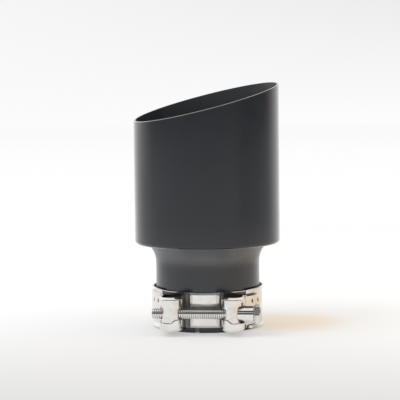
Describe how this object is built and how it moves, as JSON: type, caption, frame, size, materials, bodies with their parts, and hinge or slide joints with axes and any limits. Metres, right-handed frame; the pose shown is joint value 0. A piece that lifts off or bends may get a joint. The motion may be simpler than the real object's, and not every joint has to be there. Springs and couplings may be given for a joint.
{
  "type": "exhaust tip",
  "caption": "Slash-cut tubular exhaust tip on a flared inlet neck, held on a tailpipe by a screw clamp with folded loops, trunnions and a hex-head bolt.",
  "frame": {"origin": "centre of the inlet end, on the plane the part stands on", "axes": "+Z along the tube axis from the inlet to the mouth, +X along the clamp bolt to its head, the bolt on the -Y side"},
  "size_m": [0.0888, 0.0921, 0.1491],
  "materials": {
    "black_coat": "satin black coat on steel sheet",
    "polished_steel": "polished stainless"
  },
  "bodies": {
    "tip": {"outer_shell": "black_coat", "inlet_neck": "black_coat", "clamp_band": "polished_steel", "clamp_bridge": "polished_steel", "threaded_trunnion": "polished_steel", "plain_trunnion": "polished_steel"},
    "sleeve": {"spacer_sleeve": "polished_steel"},
    "bolt": {"clamp_bolt": "polished_steel"}
  },
  "joints": [
    {"name": "bolt_travel", "type": "slide", "parent": "tip", "child": "sleeve", "axis": [1, 0, 0], "range_m": [0, 0.01651]},
    {"name": "bolt_turn", "type": "hinge", "parent": "sleeve", "child": "bolt", "pos_m": [0, -0.041, 0.0131], "axis": [1, 0, 0], "range_deg": [0, 4680]}
  ],
  "couplings": [
    {"joint": "bolt_turn", "follows": "bolt_travel", "rad_per_m": 4947.4}
  ]
}
